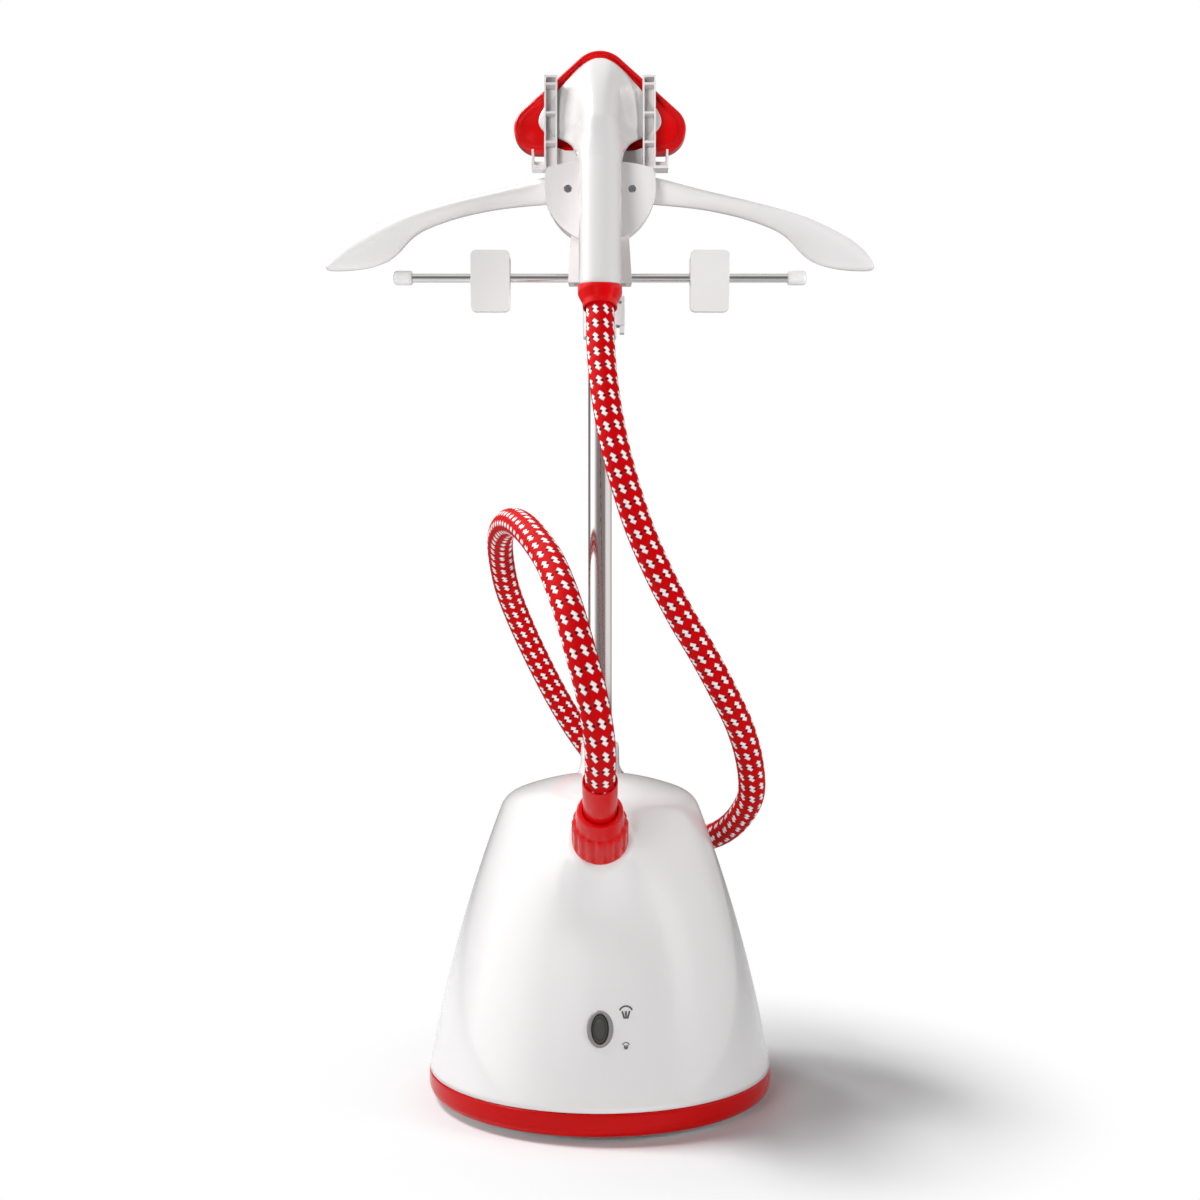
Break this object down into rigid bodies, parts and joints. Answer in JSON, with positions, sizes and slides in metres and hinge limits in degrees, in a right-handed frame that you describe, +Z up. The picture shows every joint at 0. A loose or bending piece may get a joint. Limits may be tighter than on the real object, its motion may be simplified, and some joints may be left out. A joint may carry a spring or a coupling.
{
  "type": "garment steamer",
  "caption": "Upright garment steamer: floor base with boiler and rear water tank, telescopic pole with garment hanger and trouser bar, and a hand-held steam head on a braided hose.",
  "frame": {"origin": "on the floor, under the centre of the round base", "axes": "+Z up along the pole; -Y to the front, where the switch and the hose connector are; +X to the viewer's right"},
  "size_m": [0.507, 0.4024, 0.956],
  "materials": {
    "white_plastic": "gloss",
    "grey_plastic": "satin",
    "pale_plastic": "satin",
    "red_plastic": "gloss",
    "tank_plastic": "milky, satin",
    "cap_plastic": "translucent",
    "bezel_plastic": "satin",
    "rocker_plastic": "satin",
    "dark_plastic": "matt",
    "valve_plastic": "satin",
    "black_rubber": "matt",
    "seal_rubber": "matt",
    "silicone": "translucent, satin",
    "red_silicone": "matt",
    "cast_aluminium": "as cast",
    "plate_aluminium": "brushed",
    "pole_metal": "polished",
    "bar_chrome": "polished",
    "steel": "bright zinc",
    "element_steel": "annealed",
    "red_braid": "woven"
  },
  "bodies": {
    "base": {"rubber_feet": "black_rubber", "bottom_plate": "grey_plastic", "red_skirt": "red_plastic", "front_shell": "white_plastic", "base_screws": "steel", "boiler_casting": "cast_aluminium", "boiler_gasket": "red_silicone", "boiler_cover": "cast_aluminium", "heating_element": "element_steel", "thermostat": "grey_plastic", "thermal_fuse": "grey_plastic", "feed_tube": "silicone", "steam_pipe": "silicone", "valve_seat": "grey_plastic", "mains_gland": "black_rubber", "switch_bezel": "bezel_plastic", "switch_body": "dark_plastic", "pole_socket": "grey_plastic", "pole_collar": "pale_plastic", "fixed_tube": "pole_metal", "lock_collar": "white_plastic", "lock_pin": "steel", "hose_spigot": "grey_plastic", "spigot_seal": "seal_rubber", "hose_cuff": "red_plastic", "steam_hose": "red_braid"},
    "tank": {"water_tank": "tank_plastic"},
    "cap": {"tank_cap": "grey_plastic", "cap_seal": "seal_rubber", "valve_spring": "steel", "valve_retainer": "grey_plastic"},
    "valve": {"valve_plunger": "valve_plastic"},
    "rocker": {"switch_rocker": "rocker_plastic"},
    "nut": {"hose_nut": "red_plastic"},
    "lever": {"lock_lever": "white_plastic"},
    "pole_upper": {"sliding_tube": "pole_metal", "slide_bush": "dark_plastic", "bracket_body": "pale_plastic", "bracket_cover": "pale_plastic", "bracket_screws": "steel", "left_arm": "white_plastic", "right_arm": "white_plastic", "head_cradle": "pale_plastic", "trouser_bar": "bar_chrome", "bar_caps": "cap_plastic"},
    "left_clip": {"left_clip_back": "white_plastic", "left_clip_spring": "steel"},
    "left_jaw": {"left_clip_front": "white_plastic"},
    "right_clip": {"right_clip_back": "white_plastic", "right_clip_spring": "steel"},
    "right_jaw": {"right_clip_front": "white_plastic"},
    "head": {"head_shell": "white_plastic", "handle_back": "white_plastic", "red_rim": "red_plastic", "plate_gasket": "seal_rubber", "steam_plate": "plate_aluminium", "steam_duct": "plate_aluminium", "hose_collar": "red_plastic", "hose_ferrule": "grey_plastic", "head_screws": "steel"}
  },
  "joints": [
    {"name": "tank_lift", "type": "slide", "parent": "base", "child": "tank", "axis": [0, 0, 1], "range_m": [0, 0.04]},
    {"name": "cap_turn", "type": "hinge", "parent": "tank", "child": "cap", "pos_m": [0, 0.104, 0.044], "axis": [0, 0, 1], "range_deg": [0, 90]},
    {"name": "valve_push", "type": "slide", "parent": "cap", "child": "valve", "axis": [0, 0, 1], "range_m": [0, 0.002], "stiffness_N_per_m": 300, "springref_m": -0.003, "deforming": ["valve_spring"]},
    {"name": "switch_rock", "type": "hinge", "parent": "base", "child": "rocker", "pos_m": [0, -0.13759, 0.09111], "axis": [1, 0, 0], "range_deg": [-6, 6]},
    {"name": "nut_turn", "type": "hinge", "parent": "base", "child": "nut", "pos_m": [0, -0.111, 0.241], "axis": [0, -0.766, 0.6428], "range_deg": [0, 90]},
    {"name": "lever_flip", "type": "hinge", "parent": "base", "child": "lever", "pos_m": [0.019, 0.033, 0.727], "axis": [0, -1, 0], "range_deg": [0, 80]},
    {"name": "pole_extend", "type": "slide", "parent": "base", "child": "pole_upper", "axis": [0, 0, 1], "range_m": [0, 0.42]},
    {"name": "left_clip_slide", "type": "slide", "parent": "pole_upper", "child": "left_clip", "axis": [1, 0, 0], "range_m": [-0.05, 0.04]},
    {"name": "left_jaw_open", "type": "hinge", "parent": "left_clip", "child": "left_jaw", "pos_m": [-0.101, 0.01, 0.7456], "axis": [-1, 0, 0], "range_deg": [0, 25], "stiffness_Nm_per_rad": 0.12, "springref_deg": -20.05},
    {"name": "right_clip_slide", "type": "slide", "parent": "pole_upper", "child": "right_clip", "axis": [1, 0, 0], "range_m": [-0.04, 0.05]},
    {"name": "right_jaw_open", "type": "hinge", "parent": "right_clip", "child": "right_jaw", "pos_m": [0.101, 0.01, 0.7456], "axis": [-1, 0, 0], "range_deg": [0, 25], "stiffness_Nm_per_rad": 0.12, "springref_deg": -20.05},
    {"name": "head_lift", "type": "slide", "parent": "pole_upper", "child": "head", "axis": [0, 0, 1], "range_m": [0, 0.12]}
  ]
}
